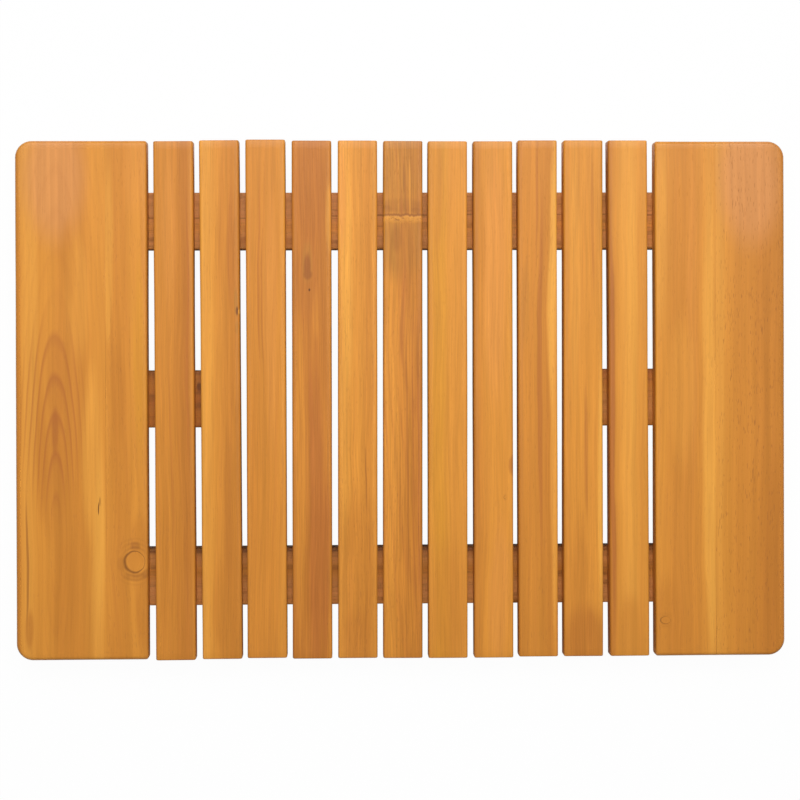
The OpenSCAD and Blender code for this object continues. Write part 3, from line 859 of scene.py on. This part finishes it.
def shape_batten(node):
    """A bar with eased edges and its screw holes."""
    low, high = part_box(node)
    bar = start_block(node + "_wood", low, high)
    pick(bar, "EDGE", lambda p: along(2, p))
    bevel(BATTEN_CORNER, 8)
    pick(bar, "EDGE", lambda p: near(p[0].z, p[1].z))
    bevel(BATTEN_EDGE, 4)
    bpy.ops.object.mode_set(mode="OBJECT")
    bit = lathe("drill_bit", Vector((0, 0, 0)), DRILL_BIT, steps=32)
    bits = copy_to(bit, "drill_bits", screw_places(node))
    use_modifier(bar, "BOOLEAN", operation="DIFFERENCE", solver="EXACT", object=bits)
    throw_away(bit, bits)
    return bar


for number, node in enumerate(SCREW_ROWS):
    low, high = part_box(node)
    rough_sawn = wood(node + "_acacia", middle(node), high.y - low.y, turned=True, seed=200.5 + 13 * number,
                      heart=(30, 0.02, -16), ring=6.5, ring_strength=0.5, roughness=0.55, pores=0.4,
                      **BATTEN_LOOK[node])
    batten = shape_batten(node)
    finish_piece(batten, node, rough_sawn)
    print(node, len(batten.data.polygons), "faces with", len(SCREW_ROWS[node]), "screw holes")

# %% [markdown]
# ## Steel and rubber
# The screws and washers are zinc plated, and the feet are black rubber. Zinc dulls in blotches and
# rubber gathers dust, so both get fine speckles and broad blotches in their colour. A perfectly
# even surface would look like plastic.

# %% Zinc and rubber
def plain(name, colour, metallic, roughness, grain, spread, depth):
    """One colour with fine speckles, broad blotches and a bump of the given depth."""
    material, tree, shader = new_material(name)
    place = add(tree, "TexCoord").outputs["Object"]
    speckle = noise(tree, place, (grain,) * 3, 3.7, detail=3)
    blotch = noise(tree, place, (grain / 9,) * 3, 9.1, detail=1)
    shade = maths(tree, "MULTIPLY_ADD", speckle, spread, 1 - spread / 2)
    shade = maths(tree, "MULTIPLY", shade, maths(tree, "MULTIPLY_ADD", blotch, spread, 1 - spread / 2))
    tint = add(tree, "CombineColor", {0: shade, 1: shade, 2: shade}).outputs[0]
    bump = add(tree, "Bump", {"Height": speckle, "Strength": 0.3, "Distance": depth}).outputs[0]
    fill(tree, shader, {"Base Color": mix(tree, 1.0, colour, tint, "MULTIPLY"), "Metallic": metallic,
                        "Roughness": maths(tree, "MULTIPLY_ADD", blotch, 0.2, roughness - 0.1),
                        "Normal": bump})
    return material


ZINC = plain("zinc_plate", (0.66, 0.65, 0.60, 1), 1.0, 0.34, 2600, 0.25, 0.03 * MM)
RUBBER = plain("black_rubber", (0.028, 0.028, 0.03, 1), 0.0, 0.62, 3800, 0.5, 0.06 * MM)

# %% [markdown]
# ## Screws
# A thread is drawn as a ridge for each turn, because a true spiral would never be seen inside the
# wood. The cross recess for the screwdriver is a bar with two more arms extruded from its
# sides, cut out of the head.

# %% Wood screws and foot screws
def threaded(core, crest, first, tip, turns, pitch):
    """The section of a shank, from its first height to its tip, with a ridge for each turn."""
    shoulder = tip - 2 * crest
    section = [(core, first)]
    for turn in range(turns, 0, -1):
        for share, radius in ((0, core), (0.35, crest), (0.5, crest), (0.85, core)):
            section.append((radius, shoulder - (turn - share) * pitch))
    return section + [(core, shoulder), (0, tip)]


ARM_WIDTH = 0.9 * MM  # of the cross


def cut_recess(screw, length, depth, face):
    """Cuts the cross for the screwdriver into a head whose face is at this height."""
    half, arm = ARM_WIDTH / 2, length / 2 * MM
    low = Vector((-arm, -half, (face - 1) * MM))
    high = Vector((arm, half, (face + depth) * MM))
    cross = start_block("recess_bit", low, high)
    for x in (-half, half):
        bpy.ops.mesh.select_all(action="SELECT")
        bpy.ops.mesh.bisect(plane_co=(x, 0, 0), plane_no=(1, 0, 0))
    for side in (-1, 1):
        pick(cross, "FACE", lambda p: all(near(v.y, side * half) and abs(v.x) < 1.1 * half for v in p))
        bpy.ops.mesh.extrude_region_move(TRANSFORM_OT_translate={"value": (0, side * (arm - half), 0)})
    bpy.ops.mesh.select_all(action="SELECT")
    bpy.ops.mesh.normals_make_consistent(inside=False)
    bpy.ops.object.mode_set(mode="OBJECT")
    use_modifier(screw, "BOOLEAN", operation="DIFFERENCE", solver="EXACT", object=cross)
    throw_away(cross)


SCREW_STEPS = 26  # so that no edge of the round head runs through a corner of the cross
PITCH = 1.6
SCREW_SECTION = [(0, 0), (3.4, 0), (3.5, 0.1), (3.5, 0.25)]
SCREW_SECTION += threaded(core=1.15, crest=1.75, first=2.6, tip=20, turns=6, pitch=PITCH)
wood_screw = lathe("wood_screw", Vector((0, 0, 0)), SCREW_SECTION, steps=SCREW_STEPS)
cut_recess(wood_screw, length=4.06, depth=1.82, face=0)
for batten in SCREW_ROWS:
    heads = [place + Vector((0, 0, SCREW_SINK)) * MM for place in screw_places(batten)]
    row = copy_to(wood_screw, batten + "_wood_screws", heads)
    finish_piece(row, batten + "_screws", ZINC, angle=30)
print("one wood screw:", len(wood_screw.data.polygons), "faces")

FEET = sorted(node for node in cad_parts
              if node.startswith("foot_") and node not in ("foot_washers", "foot_screws"))
HEAD = 1.7  # height of the head of a foot screw
PAN_SECTION = [(0, -HEAD), (1.88, -HEAD), (2.41, -1.45), (2.78, -1.0), (2.9, -0.68), (2.9, 0)]
PAN_SECTION += threaded(core=1.05, crest=1.5, first=0, tip=11.8, turns=3, pitch=PITCH)
foot_screw = lathe("foot_screw", Vector((0, 0, 0)), PAN_SECTION, steps=SCREW_STEPS)
cut_recess(foot_screw, length=3.36, depth=1.19, face=-HEAD)
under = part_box("foot_washers")[0].z
spots = [Vector((middle(foot).x, middle(foot).y, under)) for foot in FEET]
finish_piece(copy_to(foot_screw, "pan_head_screws", spots), "foot_screws", ZINC, angle=30)
print("one foot screw:", len(foot_screw.data.polygons), "faces")
throw_away(wood_screw, foot_screw)

# %% [markdown]
# ## Feet and washers
# A foot is a rubber disc that is a little narrower on the floor. It has a recess for the washer,
# a groove that helps it grip a wet floor, and rims eased by the mould.

# %% Rubber feet
BORE = 1.7  # radius of the hole for the screw, in feet and washers
FOOT_SECTION = [
    (BORE, 3.0), (4.3, 3.0), (4.45, 2.85), (4.45, 0.3), (4.7, 0),  # the recess for the washer
    (5.7, 0), (5.85, 0.35), (6.15, 0.35), (6.3, 0), (7.2, 0),  # the sole with its groove
    (7.75, 0.3), (8.0, 0.8), (9.0, 4.2), (9.0, 4.8), (8.8, 5.0), (BORE, 5.0), (BORE, 3.0),
]
for node in FEET:
    spot = middle(node)
    foot = lathe(node + "_rubber", Vector((spot.x, spot.y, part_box(node)[0].z)), FOOT_SECTION, steps=64)
    finish_piece(foot, node, RUBBER)

WASHER_SECTION = [(BORE, 0.06), (1.76, 0), (4.15, 0), (4.25, 0.1), (4.25, 0.7), (4.15, 0.8), (1.76, 0.8),
                  (BORE, 0.74), (BORE, 0.06)]
washer = lathe("washer", Vector((0, 0, 0)), WASHER_SECTION, steps=40)
finish_piece(copy_to(washer, "steel_washers", spots), "foot_washers", ZINC)
throw_away(washer)
print(len(FEET), "feet, each with a washer and a screw")

# %% [markdown]
# ## The studio
# The mat lies on a white table in a white room. One big soft lamp hangs behind it and high up,
# and a small one close above its far half. So the light is even there and falls off towards the
# near edge. Table and room look white to the camera, but give the mat little light of their own.

# %% Floor, lamps and room
bpy.ops.object.select_all(action="DESELECT")
bpy.ops.mesh.primitive_plane_add(size=8, location=(0, 0, 0))
table = bpy.context.active_object
table.name = "white_table"
TABLE_GLOW = 0.97  # how much of what the camera sees of the table is glow
ROOM_LIGHT = 0.15
ROOM_SEEN = 0.97
white, tree, shader = new_material("white_table_top")
fill(tree, shader, {"Base Color": (0.8, 0.8, 0.8, 1), "Roughness": 0.9})
glow = add(tree, "Emission", {"Color": (1, 1, 1, 1), "Strength": 1.0})
seen = add(tree, "LightPath").outputs["Is Camera Ray"]
share = maths(tree, "MULTIPLY", seen, TABLE_GLOW)
blend = add(tree, "MixShader", {0: share, 1: shader.outputs[0], 2: glow.outputs[0]})
fill(tree, tree.nodes["Material Output"], {"Surface": blend.outputs[0]})
table.data.materials.append(white)


def lamp(name, place, aim, wide, tall, power):
    """A soft square lamp that points at a spot."""
    light = bpy.data.lights.new(name, "AREA")
    light.shape = "RECTANGLE"
    light.size, light.size_y = wide, tall
    light.energy = power
    holder = bpy.data.objects.new(name, light)
    bpy.context.scene.collection.objects.link(holder)
    holder.location = place
    holder.rotation_euler = (Vector(aim) - Vector(place)).to_track_quat("-Z", "Y").to_euler()
    return holder


lamp("back_key", (0.2, 1.5, 2.4), (0, 0.05, 0), 3.2, 1.3, 62)
overhead_lamp = lamp("overhead_fill", (-0.02, 0.16, 0.85), (-0.02, 0.16, 0), 0.5, 0.5, 4.05)
overhead_lamp.visible_glossy = False
overhead_lamp.visible_camera = False
room = bpy.data.worlds.new("white_room")
bpy.context.scene.world = room
room.use_nodes = True
tree = room.node_tree
seen = add(tree, "LightPath").outputs["Is Camera Ray"]
strength = maths(tree, "MULTIPLY_ADD", seen, ROOM_SEEN - ROOM_LIGHT, ROOM_LIGHT)
fill(tree, tree.nodes["Background"], {"Color": (1, 1, 1, 1), "Strength": strength})
print("lamps:", [light.name for light in bpy.data.lights])

# %% [markdown]
# ## The camera
# It looks almost straight down from about a metre above the mat. Its lens is shifted a little,
# which moves the view and hardly turns the camera, so the mat's opposite edges stay nearly parallel.

# %% Camera
lens = bpy.data.cameras.new("overhead_camera")
lens.lens = 62.26
lens.shift_x = 0.0285
lens.shift_y = -0.073
overhead = bpy.data.objects.new("overhead_camera", lens)
bpy.context.scene.collection.objects.link(overhead)
overhead.location = (-0.040, 0.045, 1.0308)
overhead.rotation_euler = [math.radians(angle) for angle in (-0.195, -1.274, -0.177)]
bpy.context.scene.camera = overhead
bpy.context.scene.view_settings.view_transform = "Standard"
print("camera", lens.lens, "mm, at", [round(c, 3) for c in overhead.location])
